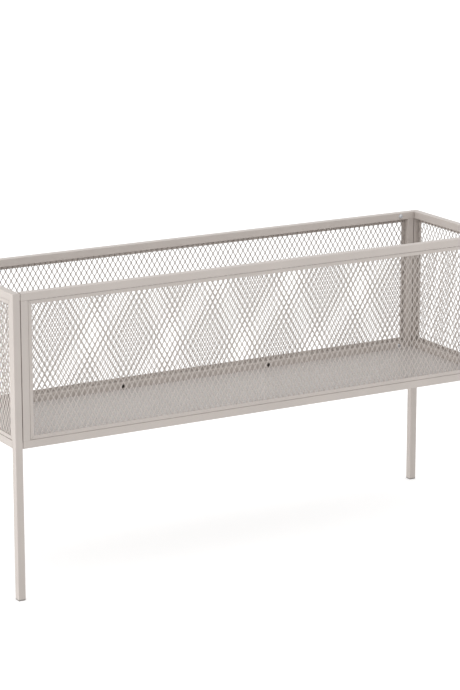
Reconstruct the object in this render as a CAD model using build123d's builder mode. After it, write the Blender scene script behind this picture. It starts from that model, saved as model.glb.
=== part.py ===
from build123d import *
import math
import os

# Raised planter: a long box of expanded metal on four square legs.
# +X runs along the front to the right, +Y to the back, +Z up. The origin is on the ground, under the middle.
# All sizes are in millimetres.

# Overall sizes
length = 1100.0
depth = 300.0
box_height = 300.0
leg_clearance = 300.0

# Square tube of the legs, rails and stiles
tube = 15.0
tube_wall = 1.2
tube_radius = 1.0

# Flat border strips round each sheet of mesh
border_width = 7.0
border_thickness = 2.0
border_recess = 1.5
border_gap = 0.8
mitre_gap = 0.3

# Expanded metal, with its long diamonds upright
mesh_short_pitch = 12.0
mesh_long_pitch = 20.0
strand_width = 1.5
strand_thickness = 1.0

# Spigots on the legs, and the screws that lock the long panels onto them
joint_gap = 1.5
spigot_clearance = 0.3
spigot_beyond_screw = 10.0
screw_inset = 50.0
screw_diameter = 5.0
screw_clearance = 0.25
thread_clearance = 0.05
screw_reach = 9.0
screw_head = 9.5
screw_head_height = 2.75
screw_head_flat = 5.0
socket_across_flats = 3.0
socket_depth = 1.6

# Open vent holes in the inner wall of the long bottom rails
vent_diameter = 8.0
vent_spacing = 346.0

# Floor sheet and the ledges under its edges
ledge_width = 12.0
ledge_thickness = 2.0
ledge_end_gap = 2.0
floor_thickness = 1.0
floor_gap = 0.25
floor_corner = 2.0

# Foot plugs
foot_thickness = 3.0
foot_stem = 14.0
foot_clearance = 0.15
foot_chamfer = 0.6

# Sizes that follow from those above
box_top = leg_clearance + box_height
box_middle = leg_clearance + box_height / 2
rail_height = (box_height - tube) / 2
post_place = (depth - tube) / 2
bore = tube - 2 * tube_wall
panel_width = length - 2 * tube - 2 * joint_gap
stile_place = (panel_width - tube) / 2
opening_height = box_height - 2 * tube
screw_place = length / 2 - screw_inset
spigot = bore - 2 * spigot_clearance
spigot_length = screw_inset - tube + spigot_beyond_screw

# The outer face of each side. Seen from outside, its x points right, its y points up and its z points out.
sides = {
    "front": Plane((0, -depth / 2, box_middle), x_dir=(1, 0, 0), z_dir=(0, -1, 0)),
    "rear": Plane((0, depth / 2, box_middle), x_dir=(-1, 0, 0), z_dir=(0, 1, 0)),
    "left": Plane((-length / 2, 0, box_middle), x_dir=(0, -1, 0), z_dir=(-1, 0, 0)),
    "right": Plane((length / 2, 0, box_middle), x_dir=(0, 1, 0), z_dir=(1, 0, 0)),
}

# What lies at the left and right end of each side, seen from outside
ends = {
    "front": ("left", "right"),
    "rear": ("right", "left"),
    "left": ("rear", "front"),
    "right": ("front", "rear"),
}


def save(piece, name):
    """Label a finished piece and write it to its own file."""
    piece.label = name
    export_step(piece, f"parts/{name}.step")


def along(side, across, up):
    """Plane in the middle of a tube's thickness, looking along a side to the right."""
    middle = side.from_local_coords((across, up, -tube / 2))
    return Plane(middle, x_dir=side.y_dir, z_dir=side.x_dir)


def upward(side, across, up):
    """Plane in the middle of a tube's thickness, looking up a side."""
    middle = side.from_local_coords((across, up, -tube / 2))
    return Plane(middle, x_dir=side.x_dir, z_dir=side.y_dir)


def square_tube(start, run):
    """A plain length of square tube, along the normal of its start plane."""
    with BuildPart() as bar:
        with BuildSketch(start):
            RectangleRounded(tube, tube, tube_radius)
            Rectangle(bore, bore, mode=Mode.SUBTRACT)
        extrude(amount=run)
    return bar.part


def mitre(side, hand):
    """Plane of the mitre at an upper corner of an end frame. Its normal points to the leg."""
    corner = side.from_local_coords((hand * depth / 2, box_height / 2, 0))
    return Plane(corner, z_dir=side.x_dir * hand - side.y_dir)


def leg(side, hand):
    """Corner post and leg in one tube, mitred at the top."""
    start = upward(side, hand * post_place, foot_thickness - box_middle)
    with BuildPart() as post:
        add(square_tube(start, box_top - foot_thickness))
        split(bisect_by=mitre(side, hand), keep=Keep.TOP)
    return post.part


def end_top_rail(side):
    """Top rail of an end frame, mitred onto both legs."""
    with BuildPart() as rail:
        add(square_tube(along(side, -depth / 2, rail_height), depth))
        for hand in (-1, 1):
            split(bisect_by=mitre(side, hand), keep=Keep.BOTTOM)
    return rail.part


def long_rail(side, up, vents):
    """Open-ended rail of a long panel, with holes in its inner wall for screws and vents."""
    with BuildPart() as rail:
        add(square_tube(along(side, -panel_width / 2, up), panel_width))
        with BuildSketch(side.offset(-tube)):
            with Locations((-screw_place, up), (screw_place, up)):
                Circle(screw_diameter / 2 + screw_clearance)
            if vents:
                with Locations((-vent_spacing / 2, up), (vent_spacing / 2, up)):
                    Circle(vent_diameter / 2)
        extrude(amount=tube / 2, mode=Mode.SUBTRACT)
    return rail.part


def border_strip(side, run, place, turn):
    """One flat strip of a border, mitred at both ends, with its long edge towards the tube."""
    with BuildPart() as strip:
        with BuildSketch(side.offset(-border_recess)):
            with Locations(place):
                Trapezoid(run - 2 * mitre_gap, border_width, 45, rotation=turn)
        extrude(amount=-border_thickness)
    return strip.part


def border(side, width):
    """The four strips round one opening, by their place in it, a little clear of the tubes."""
    wide = width - 2 * border_gap
    high = opening_height - 2 * border_gap
    x = (wide - border_width) / 2
    y = (high - border_width) / 2
    return {
        "top": border_strip(side, wide, (0, y), 180),
        "bottom": border_strip(side, wide, (0, -y), 0),
        "near": border_strip(side, high, (-x, 0), -90),
        "far": border_strip(side, high, (x, 0), 90),
    }


def strand_layer(side, width, setback, lean):
    """One layer of parallel strands in a flat margin: slots cut on the slant through a thin sheet."""
    slope = math.degrees(math.atan2(mesh_short_pitch, mesh_long_pitch))
    slot_width = mesh_short_pitch * math.cos(math.radians(slope)) - strand_width
    window_width = width - 2 * border_gap - 2 * border_width
    window_height = opening_height - 2 * border_gap - 2 * border_width
    slot_length = (window_height + mesh_long_pitch) / math.cos(math.radians(slope))
    slant = window_height * mesh_short_pitch / mesh_long_pitch
    slot_count = math.ceil((window_width + slant) / mesh_short_pitch)
    with BuildSketch() as slots:
        with GridLocations(mesh_short_pitch, mesh_long_pitch, slot_count, 1):
            Rectangle(slot_width, slot_length, rotation=lean * slope)
        Rectangle(window_width, window_height, mode=Mode.INTERSECT)
    with BuildPart() as layer:
        with BuildSketch(side.offset(-setback)):
            Rectangle(width, opening_height)
            add(slots.sketch, mode=Mode.SUBTRACT)
        extrude(amount=-strand_thickness)
    return layer.part


def mesh_sheet(side, width):
    """Expanded metal that fills an opening behind its border: right-leaning strands on left-leaning ones."""
    front = border_recess + border_thickness
    outer = strand_layer(side, width, front, 1)
    inner = strand_layer(side, width, front + strand_thickness, -1)
    return Compound(children=[outer, inner])


def spigot_bar(side, hand, up):
    """Square stub on a leg's inner face, tapped from the side of the planting space."""
    foot = side.from_local_coords((hand * post_place, up, -tube))
    mouth = side.from_local_coords((hand * (depth / 2 - tube), up, -screw_inset))
    with BuildPart() as stub:
        with BuildSketch(Plane(foot, x_dir=side.x_dir, z_dir=-side.z_dir)):
            Rectangle(spigot, spigot)
        extrude(amount=spigot_length)
        with BuildSketch(Plane(mouth, z_dir=side.x_dir * hand)):
            Circle(screw_diameter / 2 + thread_clearance)
        extrude(amount=tube, mode=Mode.SUBTRACT)
    return stub.part


def button_screw():
    """Screw with a tapered head and a hexagon socket. Its head rests on the XY plane, its shank points up."""
    with BuildPart() as screw:
        with BuildSketch(Plane.XZ):
            with BuildLine():
                Polyline(
                    (0, -screw_head_height),
                    (screw_head_flat / 2, -screw_head_height),
                    (screw_head / 2, 0),
                    (screw_diameter / 2, 0),
                    (screw_diameter / 2, screw_reach),
                    (0, screw_reach),
                    close=True,
                )
            make_face()
        revolve(axis=Axis.Z)
        with BuildSketch(Plane.XY.offset(-screw_head_height)):
            RegularPolygon(socket_across_flats / 2, 6, major_radius=False)
        extrude(amount=socket_depth, mode=Mode.SUBTRACT)
    return screw.part


def foot_plug(side, hand):
    """Plastic plug in a leg's lower end: a flange under the tube and a stem inside it."""
    with BuildPart() as plug:
        with BuildSketch(upward(side, hand * post_place, -box_middle)) as flange:
            Rectangle(tube, tube)
            chamfer(flange.vertices(), tube_radius)
        extrude(amount=foot_thickness)
        chamfer(plug.faces().sort_by(Axis.Z)[0].edges(), foot_chamfer)
        with BuildSketch(upward(side, hand * post_place, foot_thickness - box_middle)):
            Rectangle(bore - 2 * foot_clearance, bore - 2 * foot_clearance)
        extrude(amount=foot_stem)
        chamfer(plug.faces().sort_by(Axis.Z)[-1].edges(), foot_chamfer)
    return plug.part


def infill(name, width):
    """Border strips and mesh of one side."""
    side = sides[name]
    near, far = ends[name]
    names = {"top": "top", "bottom": "bottom", "near": near, "far": far}
    for place, strip in border(side, width).items():
        save(strip, f"{name}_border_{names[place]}")
    save(mesh_sheet(side, width), f"{name}_mesh")


os.makedirs("parts", exist_ok=True)

# Long panels
for name in ("front", "rear"):
    side = sides[name]
    save(long_rail(side, rail_height, vents=False), f"{name}_top_rail")
    save(long_rail(side, -rail_height, vents=True), f"{name}_bottom_rail")
    for hand, end in zip((-1, 1), ends[name]):
        foot = upward(side, hand * stile_place, -opening_height / 2)
        save(square_tube(foot, opening_height), f"{name}_{end}_stile")
    infill(name, panel_width - 2 * tube)

# End frames, with their spigots and foot plugs
for name in ("left", "right"):
    side = sides[name]
    save(end_top_rail(side), f"{name}_top_rail")
    start = along(side, tube - depth / 2, -rail_height)
    save(square_tube(start, depth - 2 * tube), f"{name}_bottom_rail")
    for hand, end in zip((-1, 1), ends[name]):
        save(leg(side, hand), f"{end}_{name}_leg")
        save(foot_plug(side, hand), f"{end}_{name}_foot")
        for level, up in (("upper", rail_height), ("lower", -rail_height)):
            save(spigot_bar(side, hand, up), f"{end}_{name}_{level}_spigot")
    infill(name, depth - 2 * tube)

# Screws, one into each spigot
with BuildPart() as panel_screws:
    for name in ("front", "rear"):
        with Locations(sides[name].offset(-tube)):
            with GridLocations(2 * screw_place, 2 * rail_height, 2, 2):
                add(button_screw())
save(panel_screws.part, "panel_screws")

# Ledges on the bottom rails. Those at the long panels end short of the screw heads.
long_ledge = 2 * (screw_place - screw_head / 2 - ledge_end_gap)
end_ledge = depth - 2 * tube - 2 * ledge_end_gap
for name, run in (("front", long_ledge), ("rear", long_ledge), ("left", end_ledge), ("right", end_ledge)):
    side = sides[name]
    with BuildPart() as ledge:
        with BuildSketch(side.offset(-tube)):
            with Locations((0, (ledge_thickness - box_height) / 2)):
                Rectangle(run, ledge_thickness)
        extrude(amount=-ledge_width)
    save(ledge.part, f"{name}_ledge")

# Floor sheet, narrow enough to drop in past the screw heads
floor_clearance = screw_head_height + floor_gap
with BuildPart() as floor_sheet:
    with BuildSketch(Plane.XY.offset(leg_clearance + ledge_thickness)) as outline:
        Rectangle(length - 2 * tube - 2 * floor_clearance, depth - 2 * tube - 2 * floor_clearance)
        chamfer(outline.vertices(), floor_corner)
    extrude(amount=floor_thickness)
save(floor_sheet.part, "floor_sheet")
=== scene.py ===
# %% [markdown]
# # Raised planter on legs
#
# A long open box stands on four slim legs. Apart from its screws and foot plugs it is steel under one
# warm grey powder coat: frames of square tube, flat border strips, panels of expanded metal and a loose
# floor sheet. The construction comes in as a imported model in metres, with its origin on the ground under
# the middle, +X to the right, +Y to the back and +Z up. What follows is added around it in that same
# frame, so nothing has to be fitted.

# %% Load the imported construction
import math

import bmesh
import bpy
from mathutils import Matrix, Vector


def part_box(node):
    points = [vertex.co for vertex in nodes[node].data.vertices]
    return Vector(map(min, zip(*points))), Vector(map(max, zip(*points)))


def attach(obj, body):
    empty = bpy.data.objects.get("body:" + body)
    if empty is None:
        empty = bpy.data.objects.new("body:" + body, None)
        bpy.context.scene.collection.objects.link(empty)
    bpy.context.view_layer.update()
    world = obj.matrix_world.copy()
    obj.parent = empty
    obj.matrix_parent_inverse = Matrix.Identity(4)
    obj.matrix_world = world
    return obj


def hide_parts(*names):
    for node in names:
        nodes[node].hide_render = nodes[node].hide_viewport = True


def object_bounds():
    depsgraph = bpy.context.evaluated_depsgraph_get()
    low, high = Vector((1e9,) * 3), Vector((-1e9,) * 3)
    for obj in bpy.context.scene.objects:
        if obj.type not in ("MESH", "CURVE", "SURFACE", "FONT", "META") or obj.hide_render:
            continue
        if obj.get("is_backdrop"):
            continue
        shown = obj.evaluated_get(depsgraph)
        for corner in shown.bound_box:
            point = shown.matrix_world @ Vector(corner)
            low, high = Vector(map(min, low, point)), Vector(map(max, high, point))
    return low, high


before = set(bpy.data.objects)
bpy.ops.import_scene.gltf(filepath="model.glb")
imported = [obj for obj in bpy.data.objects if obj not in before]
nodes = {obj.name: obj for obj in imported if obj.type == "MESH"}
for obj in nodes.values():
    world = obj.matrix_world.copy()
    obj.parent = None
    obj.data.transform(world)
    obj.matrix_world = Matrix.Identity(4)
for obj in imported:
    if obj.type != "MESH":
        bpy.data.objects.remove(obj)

MM = 0.001
cad_low, cad_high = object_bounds()
print("construction:", len(nodes), "nodes,", [round(side, 4) for side in cad_high - cad_low], "m")

# %% [markdown]
# ## The camera
#
# The planter was photographed from well back with a long lens, from the left of its front and a little
# above the rim. A view is settled by four things: where the camera stands, how far it turns, how far it
# tips and how long its lens is. They were found by lining the straight edges of the rails up with the
# picture. Blender measures the lens along the longer side of the picture, which is upright here.

# %% Stand the camera
camera_place = Vector((-2.5547, -4.4230, 1.6893))
camera_turn = math.radians(30.02)
camera_tip = math.radians(14.146)
camera_lens = 136.27
camera_sensor = 36.0

camera_data = bpy.data.cameras.new("photo_camera")
camera_data.sensor_width = camera_sensor
camera_data.lens = camera_lens
camera = bpy.data.objects.new("photo_camera", camera_data)
camera.location = camera_place
camera.rotation_euler = (math.pi / 2 - camera_tip, 0, -camera_turn)
bpy.context.scene.collection.objects.link(camera)
bpy.context.scene.camera = camera
planter_middle = (cad_low + cad_high) / 2
print("camera stands", round((camera_place - planter_middle).length, 2), "m from the planter")

# %% [markdown]
# ## Small helpers for shader nodes
#
# A material is a graph of nodes. Writing each node as one call, with its settings and what feeds it,
# keeps the graph readable: a socket given as a value is linked, and anything else becomes that input's
# fixed value.

# %% Helpers for node graphs
def node(tree, kind, feeds=None, **settings):
    made = tree.nodes.new(kind)
    for name, value in settings.items():
        setattr(made, name, value)
    for name, value in (feeds or {}).items():
        if isinstance(value, bpy.types.NodeSocket):
            tree.links.new(value, made.inputs[name])
        else:
            made.inputs[name].default_value = value
    return made


def maths(tree, operation, first, second=0.0):
    return node(tree, "ShaderNodeMath", {0: first, 1: second}, operation=operation).outputs[0]


def empty_material(name):
    material = bpy.data.materials.new(name)
    material.use_nodes = True
    material.node_tree.nodes.clear()
    return material, material.node_tree


def seen_directly(tree):
    """1 for rays that show a surface to the eye, straight or mirrored, and 0 for bounced light."""
    path = node(tree, "ShaderNodeLightPath").outputs
    mirrored = maths(tree, "MAXIMUM", path["Is Glossy Ray"], path["Is Transmission Ray"])
    return maths(tree, "MAXIMUM", path["Is Camera Ray"], mirrored)


# %% [markdown]
# ## Floor and background
#
# The planter is to stand on plain white. A white floor under plain light only renders pale grey, and
# more light would bleach the planter. So the floor is an ordinary pale surface that takes the planter's
# shadow, with a faint glow of its own that only the eye and reflections see. The world does the same:
# white to look at, but a weaker and even light for everything that it shines on.

# %% Lay the floor
floor_reach = 30.0
floor_white = (0.80, 0.80, 0.80, 1)
floor_glow = 0.37

floor_paint, tree = empty_material("pale_floor")
matt = node(tree, "ShaderNodeBsdfDiffuse", {"Color": floor_white})
glow_seen = maths(tree, "MULTIPLY", seen_directly(tree), floor_glow)
glow = node(tree, "ShaderNodeEmission", {"Strength": glow_seen})
both = node(tree, "ShaderNodeAddShader", {0: matt.outputs[0], 1: glow.outputs[0]})
node(tree, "ShaderNodeOutputMaterial", {"Surface": both.outputs[0]})

bm = bmesh.new()
bmesh.ops.create_grid(bm, x_segments=1, y_segments=1, size=floor_reach)
mesh = bpy.data.meshes.new("floor")
bm.to_mesh(mesh)
bm.free()
mesh.materials.append(floor_paint)
floor = bpy.data.objects.new("floor", mesh)
bpy.context.scene.collection.objects.link(floor)
floor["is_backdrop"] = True
print("floor:", 2 * floor_reach, "m square")

# %% Hang the white background
sky_white = (1, 1, 1, 1)
sky_light = 0.92

world = bpy.data.worlds.new("white_room")
world.use_nodes = True
world.node_tree.nodes.clear()
tree = world.node_tree
brightness = maths(tree, "MAXIMUM", seen_directly(tree), sky_light)
room = node(tree, "ShaderNodeBackground", {"Color": sky_white, "Strength": brightness})
node(tree, "ShaderNodeOutputWorld", {"Surface": room.outputs[0]})
bpy.context.scene.world = world
bpy.context.scene.view_settings.view_transform = "Standard"
print("world:", world.name, "with a light of", sky_light)

# %% [markdown]
# ## Lamps
#
# On the planter the left faces are the lightest, and no shadow has a hard edge. The white room gives
# most of the light, from all sides and also from below, where the floor throws it back. A weak round
# panel in front lifts the right end of the front, and a weak sun lamp with a very wide disc keeps the
# tops lighter than the sides. A low soft box far to the left reaches through the end panel and lights
# the left side of every tube and strand.

# %% Hang the lamps
front_power, front_size, front_place = 3.5, 1.0, (1.6, -2.0, 0.9)
front_right = (0.4, -0.15, 0.45)
top_power, top_spread, top_place = 0.35, math.radians(60), (-0.3, -0.6, 3.0)
ground_middle = (0.0, 0.0, 0.0)
left_power, left_size, left_place = 142, 1.6, (-6.0, 0.0, 0.45)
left_end = (-0.5, 0.0, 0.4)


def hang_lamp(name, kind, strength, place, aim, **settings):
    """A lamp at a place, turned to a point on or under the planter."""
    lamp = bpy.data.lights.new(name, kind)
    lamp.energy = strength
    for setting, value in settings.items():
        setattr(lamp, setting, value)
    holder = bpy.data.objects.new(name, lamp)
    holder.location = place
    holder.rotation_euler = (Vector(place) - Vector(aim)).to_track_quat("Z", "Y").to_euler()
    holder.visible_camera = False
    bpy.context.scene.collection.objects.link(holder)


hang_lamp("front_panel", "AREA", front_power, front_place, front_right, shape="DISK", size=front_size)
hang_lamp("top_panel", "SUN", top_power, top_place, ground_middle, angle=top_spread)
hang_lamp("left_soft_box", "AREA", left_power, left_place, left_end, shape="DISK", size=left_size)

# %% [markdown]
# ## Shared effects: the coat's texture and its edges
#
# Powder melts into a film with a very fine orange-peel skin, and its tone drifts a little from place to
# place. The rounded edges get a painted highlight, a lighter tone, and the sides that look into the box
# get painted shade, a darker one. These effects are wanted on several finishes, so each is a node group.
# They read Object coordinates in metres, so a grain has the same size on every piece. The masks need no
# painting: on tubes that are square to the axes only rounded corners have normals that point between
# them, and a side that looks into the box has a normal that points back to the middle.

# %% Start a node group
def new_group(name, inputs, outputs):
    group = bpy.data.node_groups.new(name, "ShaderNodeTree")
    for label, value in inputs.items():
        socket = group.interface.new_socket(label, in_out="INPUT", socket_type="NodeSocketFloat")
        socket.default_value = value
    for label in outputs:
        group.interface.new_socket(label, in_out="OUTPUT", socket_type="NodeSocketFloat")
    return group, group.nodes.new("NodeGroupInput").outputs, group.nodes.new("NodeGroupOutput").inputs


# %% Skin and drift of the coat
skin_detail, drift_detail = 2, 4
usual_sizes = {"Skin size": 1 * MM, "Drift size": 50 * MM}


def skin_group():
    """Fine skin height and slow drift of tone, both from 0 to 1, for sizes in metres."""
    group, taken, given = new_group("coat_skin", usual_sizes, ["Skin", "Drift"])
    place = node(group, "ShaderNodeTexCoord").outputs["Object"]
    for label, size, detail in (("Skin", "Skin size", skin_detail), ("Drift", "Drift size", drift_detail)):
        scale = maths(group, "DIVIDE", 1.0, taken[size])
        noise = node(group, "ShaderNodeTexNoise", {"Vector": place, "Scale": scale, "Detail": detail})
        group.links.new(noise.outputs["Fac"], given[label])
    return group


coat_skin = skin_group()
print("group:", coat_skin.name)

# %% Masks for the painted edge highlight and the painted inner shade
edge_softness = 0.2


def edge_group():
    """A mask for the painted highlight: 1 along rounded edges and 0 on flats that are square to the axes.
    """
    group, taken, given = new_group("edge_highlight_mask", {"Softness": edge_softness}, ["Edge"])
    facing = node(group, "ShaderNodeTexCoord").outputs["Normal"]
    axes = node(group, "ShaderNodeSeparateXYZ", {0: facing}).outputs
    widest = maths(group, "ABSOLUTE", axes[0])
    for axis in (1, 2):
        widest = maths(group, "MAXIMUM", widest, maths(group, "ABSOLUTE", axes[axis]))
    off_axis = maths(group, "SUBTRACT", 1.0, widest)
    softened = {0: off_axis, 1: taken["Softness"]}
    edge = node(group, "ShaderNodeMath", softened, operation="DIVIDE", use_clamp=True)
    group.links.new(edge.outputs[0], given["Edge"])
    return group


def inner_group():
    """A mask for painted shade: 1 on faces that look into the box, 0 on faces that look outwards, up or
    down.
    """
    group, _, given = new_group("inner_shade_mask", {}, ["Inside"])
    coordinates = node(group, "ShaderNodeTexCoord").outputs
    side = node(group, "ShaderNodeVectorMath", {0: coordinates["Object"]}, operation="SIGN").outputs[0]
    facing = {0: coordinates["Normal"], 1: side}
    outwards = node(group, "ShaderNodeVectorMath", facing, operation="MULTIPLY").outputs[0]
    axes = node(group, "ShaderNodeSeparateXYZ", {0: outwards}).outputs
    inwards = maths(group, "MULTIPLY", maths(group, "MINIMUM", axes["X"], axes["Y"]), -1.0)
    group.links.new(maths(group, "MAXIMUM", inwards, 0.0), given["Inside"])
    return group


edge_highlight_mask = edge_group()
inner_shade_mask = inner_group()
print("masks:", edge_highlight_mask.name, inner_shade_mask.name)

# %% [markdown]
# ## Powder coat
#
# The coat is a satin warm grey. One function mixes it, because the tubes, the mesh and the floor sheet
# came out of the same oven but not with the same skin: the sheet is flatter, and the thin strands of the
# mesh carry a slightly rougher film. The mesh also gets painted shade: its inner sides are darkened, and
# its tone is a slightly darker copy of the tube tone. Colour, roughness and bump all come from the
# groups. What is the same all over stays on the shader's own sockets.

# %% Helpers for finishes
bump_strength = 0.5


def add_skin(tree, skin_size, drift_size):
    """The outputs of the skin group, with its sizes set in metres."""
    skin = node(tree, "ShaderNodeGroup", node_tree=coat_skin)
    skin.inputs["Skin size"].default_value = skin_size
    skin.inputs["Drift size"].default_value = drift_size
    return skin.outputs


def drifting_tone(tree, drift, ends, dark, light):
    """A colour that goes from dark to light as the drift goes from one end to the other."""
    ramp = node(tree, "ShaderNodeValToRGB", {"Fac": drift})
    for stop, level, colour in zip(ramp.color_ramp.elements, ends, (dark, light)):
        stop.position = level
        stop.color = colour
    return ramp.outputs["Color"]


def blend(tree, share, first, second):
    """A varying colour where share is 0, and a fixed second colour where it is 1."""
    mix = node(tree, "ShaderNodeMix", {"Factor": share}, data_type="RGBA")
    tree.links.new(first, mix.inputs["A"])
    mix.inputs["B"].default_value = second
    return mix.outputs["Result"]


def add_surface(tree, skin, colour, shine, relief, metallic=0.0):
    """The shader. shine is the lowest and the highest roughness, relief the skin's depth in metres."""
    gloss = {"Value": skin["Drift"], "To Min": shine[0], "To Max": shine[1]}
    rough = node(tree, "ShaderNodeMapRange", gloss)
    bumps = {"Height": skin["Skin"], "Strength": bump_strength, "Distance": relief}
    bump = node(tree, "ShaderNodeBump", bumps)
    feeds = {"Base Color": colour, "Roughness": rough.outputs[0], "Normal": bump.outputs[0]}
    surface = node(tree, "ShaderNodeBsdfPrincipled", feeds)
    surface.inputs["Metallic"].default_value = metallic
    node(tree, "ShaderNodeOutputMaterial", {"Surface": surface.outputs[0]})


# %% Mix the powder coats
tube_tone = Vector((0.54, 0.49, 0.455))
# painted shade: the mesh's tone is a slightly darker copy of the tube tone
mesh_shaded_tone = 0.97 * tube_tone
sheet_tone = Vector((0.515, 0.482, 0.463))
coat_ends = (0.3, 0.7)
drift_dark, drift_light = 0.975, 1.025
# how much lighter the painted highlight on rounded edges is
edge_highlight_lift, edge_share = 1.12, 0.35
black = (0.0, 0.0, 0.0, 1.0)


def paint(tone, share):
    return tuple(tone * share) + (1.0,)


def powder_coat(name, tone, skin_size, drift_size, shine, relief, inside=1.0):
    """A satin coat of a tone. An inside below 1 darkens its inner sides toward black as painted shade."""
    material, tree = empty_material(name)
    skin = add_skin(tree, skin_size, drift_size)
    dark, light = paint(tone, drift_dark), paint(tone, drift_light)
    colour = drifting_tone(tree, skin["Drift"], coat_ends, dark, light)
    # painted highlight: rounded edges are mixed toward a lighter tone of the coat
    edge = node(tree, "ShaderNodeGroup", node_tree=edge_highlight_mask).outputs["Edge"]
    colour = blend(tree, maths(tree, "MULTIPLY", edge, edge_share), colour, paint(tone, edge_highlight_lift))
    if inside < 1.0:
        # painted shade: the sides that look into the box are mixed toward black
        painted_inner_shade = node(tree, "ShaderNodeGroup", node_tree=inner_shade_mask).outputs["Inside"]
        colour = blend(tree, maths(tree, "MULTIPLY", painted_inner_shade, 1 - inside), colour, black)
    add_surface(tree, skin, colour, shine, relief)
    return material


tube_coat = powder_coat(
    "powder_coat_tube", tube_tone,
    skin_size=0.9 * MM, drift_size=60 * MM, shine=(0.40, 0.48), relief=0.02 * MM,
)
# the mesh gets painted shade on the sides that look into the box
mesh_coat = powder_coat(
    "powder_coat_mesh", mesh_shaded_tone,
    skin_size=0.6 * MM, drift_size=40 * MM, shine=(0.44, 0.54), relief=0.02 * MM, inside=0.83,
)
sheet_coat = powder_coat(
    "powder_coat_sheet", sheet_tone,
    skin_size=1.1 * MM, drift_size=120 * MM, shine=(0.42, 0.50), relief=0.03 * MM,
)
print("coats:", tube_coat.name, mesh_coat.name, sheet_coat.name)

# %% [markdown]
# ## Zinc plate and moulded plastic
#
# Two small parts have no coat. The screws are plated with bright zinc, a metal: its base colour tints
# what it mirrors, and fine crystals change both tone and gloss from spot to spot. The foot plugs are
# moulded plastic, with a grain that was etched into the mould. Both need only tone, gloss and bump, all
# from the skin group.

# %% Mix the zinc and the plastic
zinc_dark, zinc_light = (0.57, 0.58, 0.60, 1), (0.68, 0.69, 0.71, 1)
plastic_dark, plastic_light = (0.285, 0.266, 0.247, 1), (0.315, 0.294, 0.273, 1)
plain_ends = (0.35, 0.65)


def plain_finish(name, dark, light, metallic, skin_size, drift_size, shine, relief):
    """A finish that drifts between two tones and two roughnesses, with a fine bump."""
    material, tree = empty_material(name)
    skin = add_skin(tree, skin_size, drift_size)
    colour = drifting_tone(tree, skin["Drift"], plain_ends, dark, light)
    add_surface(tree, skin, colour, shine, relief, metallic)
    return material


zinc = plain_finish(
    "bright_zinc", zinc_dark, zinc_light, metallic=1.0,
    skin_size=0.3 * MM, drift_size=1.5 * MM, shine=(0.25, 0.40), relief=0.005 * MM,
)
plastic = plain_finish(
    "foot_plastic", plastic_dark, plastic_light, metallic=0.0,
    skin_size=0.4 * MM, drift_size=8 * MM, shine=(0.50, 0.62), relief=0.03 * MM,
)
print("other finishes:", zinc.name, plastic.name)

# %% Dress the construction
def finish_of(name):
    if name == "floor_sheet":
        return sheet_coat
    if name == "panel_screws":
        return zinc
    if name.endswith("_foot"):
        return plastic
    return tube_coat


for name, item in nodes.items():
    item.material_slots[0].material = finish_of(name)
print("dressed:", len(nodes), "nodes")

# %% [markdown]
# ## Expanded metal
#
# The panels are sheet steel that was slit in rows and pulled open, so each is one piece with no wires
# crossing. Every strand keeps a flat section that stands askew to the panel, and two strands stay joined
# for a short length at each knuckle. A plane with a pattern of holes would miss that lean, which makes
# one side of the mesh light and the other dark. So one repeat of a strand is extruded from a small
# rectangle: up beside a knuckle, across, up beside the next one, and back. Where it touches its
# neighbour the wall is left open, so that copies set side by side weld into one closed skin. The net is
# then cut to the panel like real sheet. Real sheets are never slit, pulled and set quite alike, and where
# one shows through another that makes broad light and dark patches. So the front and the rear sheet each
# have their own shift, turn and pull, matched to those patches in the picture.

# %% Sizes of the mesh
diamond_across = 12 * MM
diamond_up = 20 * MM
knuckle_length = 2.8 * MM
strand_width = 1.7 * MM
strand_thickness = 1.15 * MM
strand_lean = math.radians(20)
spare_columns, spare_rows = 6, 2
weld_distance = 0.01 * MM
cut_distance = weld_distance / 10
print("diamonds:", round(diamond_across / MM, 1), "by", round(diamond_up / MM, 1), "mm")


# %% One repeat of a strand
def corners_of(made):
    return [item for item in made if isinstance(item, bmesh.types.BMVert)]


def add_strand(bm, lean):
    """One repeat of a strand, which stands to the right of a knuckle at the origin."""
    flat = Vector((math.cos(lean), math.sin(lean), 0))
    across = Vector((diamond_across / 2, 0, 0)) - strand_width * flat
    beside = Vector((0, 0, knuckle_length))
    climb = Vector((0, 0, diamond_up / 2)) - beside
    steps = [(beside / 2, -1), (climb + across, 0), (beside, 1), (climb - across, 0), (beside / 2, -1)]

    section = bmesh.ops.create_grid(bm, x_segments=1, y_segments=1, size=0.5)["verts"]
    bmesh.ops.scale(bm, vec=(strand_width, strand_thickness, 1), verts=section)
    bmesh.ops.rotate(bm, cent=(0, 0, 0), matrix=Matrix.Rotation(lean, 3, "Z"), verts=section)
    bmesh.ops.translate(bm, vec=flat * strand_width / 2, verts=section)
    bmesh.ops.delete(bm, geom=bm.faces[:], context="FACES_ONLY")
    ring = bm.edges[:]
    for step, joined_side in steps:
        made = bmesh.ops.extrude_edge_only(bm, edges=ring)["geom"]
        moved = set(corners_of(made))
        bmesh.ops.translate(bm, vec=step, verts=list(moved))
        edges = [item for item in made if isinstance(item, bmesh.types.BMEdge)]
        ring = [edge for edge in edges if moved.issuperset(edge.verts)]
        walls = [item for item in made if isinstance(item, bmesh.types.BMFace)]
        if joined_side:
            shared = max(walls, key=lambda wall: joined_side * wall.calc_center_median().dot(flat))
            bmesh.ops.delete(bm, geom=[shared], context="FACES_ONLY")


# %% Copy the strand over a panel and cut it to size
def repeat(bm, count, offset):
    """Copies all that is there until there are count of it, each one offset further on."""
    pattern = bm.verts[:] + bm.edges[:] + bm.faces[:]
    for number in range(1, count):
        copy = bmesh.ops.duplicate(bm, geom=pattern)["geom"]
        bmesh.ops.translate(bm, vec=offset * number, verts=corners_of(copy))


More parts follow.
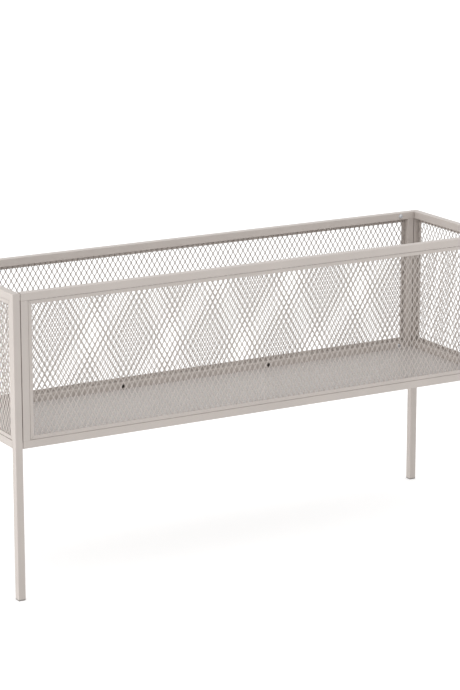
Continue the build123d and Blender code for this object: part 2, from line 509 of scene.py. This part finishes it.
def cut_to(bm, low, high):
    """Keeps what lies between two corners in X and Z, and closes the cut ends."""
    for axis in (Vector((1, 0, 0)), Vector((0, 0, 1))):
        for corner, outwards in ((low, -axis), (high, axis)):
            everything = bm.verts[:] + bm.edges[:] + bm.faces[:]
            bmesh.ops.bisect_plane(
                bm, geom=everything, dist=cut_distance, plane_co=corner, plane_no=outwards, clear_outer=True
            )
    rims = [edge for edge in bm.edges if edge.is_boundary]
    bmesh.ops.edgeloop_fill(bm, edges=rims)


def expanded_sheet(width, height, lean, shift, askew, pull):
    """A sheet of expanded metal, upright in XZ and centred on the origin.

    Its pattern is shifted, turned askew in the sheet's plane and pulled along the sheet."""
    bm = bmesh.new()
    add_strand(bm, lean)
    columns = math.ceil(width / diamond_across) + spare_columns
    rows = math.ceil(height / diamond_up) + spare_rows
    repeat(bm, 2, Vector((diamond_across / 2, 0, diamond_up / 2)))
    repeat(bm, columns, Vector((diamond_across, 0, 0)))
    repeat(bm, rows, Vector((0, 0, diamond_up)))
    bmesh.ops.remove_doubles(bm, verts=bm.verts[:], dist=weld_distance)
    left_over = [edge for edge in bm.edges if edge.is_wire]
    bmesh.ops.delete(bm, geom=left_over, context="EDGES")
    centre = Vector((columns * diamond_across, 0, rows * diamond_up)) / 2
    bmesh.ops.translate(bm, vec=shift - centre, verts=bm.verts[:])
    bmesh.ops.scale(bm, vec=(pull, 1, 1), verts=bm.verts[:])
    bmesh.ops.rotate(bm, cent=(0, 0, 0), matrix=Matrix.Rotation(-askew, 3, "Y"), verts=bm.verts[:])
    half = Vector((width / 2, 0, height / 2))
    cut_to(bm, -half, half)
    bmesh.ops.recalc_face_normals(bm, faces=bm.faces[:])
    return bm


# %% Set the four sheets in their frames
def add_piece(name, bm, finish):
    """Turns a finished bmesh into a piece of the planter, with its place in its mesh."""
    mesh = bpy.data.meshes.new(name)
    bm.to_mesh(mesh)
    bm.free()
    mesh.materials.append(finish)
    piece = bpy.data.objects.new(name, mesh)
    bpy.context.scene.collection.objects.link(piece)
    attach(piece, "root")
    return piece


# turn and askew are in degrees, across and up in millimetres
sheets = {
    "front": {"turn": 0, "lean": -1, "across": 3.65, "up": 2.95, "askew": 0.25, "pull": 0.9935},
    "rear": {"turn": 180, "lean": 1, "across": -1.95, "up": 8.54, "askew": 0.55, "pull": 0.9915},
    "left": {"turn": -90, "lean": 1, "across": 0, "up": 0, "askew": 0.2, "pull": 0.998},
    "right": {"turn": 90, "lean": -1, "across": 0, "up": 0, "askew": 0.2, "pull": 0.998},
}
for side, set_in in sheets.items():
    low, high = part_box(side + "_mesh")
    size = high - low
    shift = Vector((set_in["across"], 0, set_in["up"])) * MM
    lean, askew = set_in["lean"] * strand_lean, math.radians(set_in["askew"])
    bm = expanded_sheet(max(size.x, size.y), size.z, lean, shift, askew, set_in["pull"])
    turn = Matrix.Rotation(math.radians(set_in["turn"]), 3, "Z")
    bmesh.ops.rotate(bm, cent=(0, 0, 0), matrix=turn, verts=bm.verts[:])
    bmesh.ops.translate(bm, vec=(low + high) / 2, verts=bm.verts[:])
    open_edges = sum(not edge.is_manifold for edge in bm.edges)
    sheet = add_piece(side + "_expanded_sheet", bm, mesh_coat)
    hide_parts(side + "_mesh")
    print(sheet.name, len(sheet.data.polygons), "faces,", open_edges, "open edges")

# %% [markdown]
# ## Button-head screws
#
# Eight screws hold the long panels on their spigots, with their heads inside the box. A button head is a
# turned shape, so half of its outline is enough: a few points from the end of the shank to the flat on
# top of the dome, spun round the screw's axis. The hexagon socket is not round, so it comes after that.
# A ring of six corners is bridged to the rim of the flat, pushed down into the head and closed.

# %% Sizes of a screw
head_radius = 4.75 * MM
head_height = 2.75 * MM
head_rim = 0.4 * MM
flat_radius = 2.5 * MM
shank_radius = 2.5 * MM
shank_reach = 9 * MM
socket_flats = 3 * MM
socket_sides = 6
socket_radius = socket_flats / math.sqrt(3)
socket_depth = 1.6 * MM
dome_steps = 5
turn_steps = 24
print("screw head:", round(2 * head_radius / MM, 2), "mm wide")


# %% Turn one screw
def screw_outline():
    """Half the outline of an upright screw, from the end of its shank to the flat on its head."""
    points = [(shank_radius, -shank_reach), (shank_radius, 0), (head_radius, 0)]
    for step in range(dome_steps + 1):
        swing = math.pi / 2 * step / dome_steps
        radius = flat_radius + (head_radius - flat_radius) * math.cos(swing)
        height = head_rim + (head_height - head_rim) * math.sin(swing)
        points.append((radius, height))
    return [Vector((radius, 0, height)) for radius, height in points]


def add_screw(bm):
    """One upright screw, with the seat of its head at the origin."""
    corners = [bm.verts.new(point) for point in screw_outline()]
    outline = [bm.edges.new(pair) for pair in zip(corners, corners[1:])]
    bmesh.ops.spin(
        bm, geom=corners + outline, cent=(0, 0, 0), axis=(0, 0, 1), angle=2 * math.pi, steps=turn_steps
    )
    bmesh.ops.remove_doubles(bm, verts=bm.verts[:], dist=weld_distance)
    rim = [edge for edge in bm.edges if edge.is_boundary and edge.verts[0].co.z > 0]
    hexagon = bmesh.ops.create_circle(bm, segments=socket_sides, radius=socket_radius)["verts"]
    bmesh.ops.translate(bm, vec=(0, 0, head_height), verts=hexagon)
    mouth = [edge for edge in bm.edges if edge.is_wire]
    bmesh.ops.bridge_loops(bm, edges=rim + mouth)
    made = bmesh.ops.extrude_edge_only(bm, edges=mouth)["geom"]
    bmesh.ops.translate(bm, vec=(0, 0, -socket_depth), verts=corners_of(made))
    bmesh.ops.holes_fill(bm, edges=[edge for edge in bm.edges if edge.is_boundary], sides=0)


# %% Screw the panels together
smooth_below = math.radians(35)
low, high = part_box("panel_screws")
first_seat = Vector((low.x + head_radius, low.y + shank_reach, low.z + head_radius))

bm = bmesh.new()
add_screw(bm)
bmesh.ops.rotate(bm, cent=(0, 0, 0), matrix=Matrix.Rotation(-math.pi / 2, 3, "X"), verts=bm.verts[:])
bmesh.ops.translate(bm, vec=first_seat, verts=bm.verts[:])
repeat(bm, 2, Vector((high.x - low.x - 2 * head_radius, 0, 0)))
repeat(bm, 2, Vector((0, 0, high.z - low.z - 2 * head_radius)))
bmesh.ops.mirror(bm, geom=bm.verts[:] + bm.edges[:] + bm.faces[:], axis="Y", merge_dist=weld_distance)
bmesh.ops.recalc_face_normals(bm, faces=bm.faces[:])
for face in bm.faces:
    face.smooth = True
for edge in bm.edges:
    edge.smooth = edge.calc_face_angle() < smooth_below
open_edges = sum(not edge.is_manifold for edge in bm.edges)
screws = add_piece("button_screws", bm, zinc)
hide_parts("panel_screws")
print(screws.name, len(screws.data.polygons), "faces,", open_edges, "open edges")

# %% Measure the finished model
low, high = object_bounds()
print("visual model:", [round(side, 4) for side in high - low], "m")
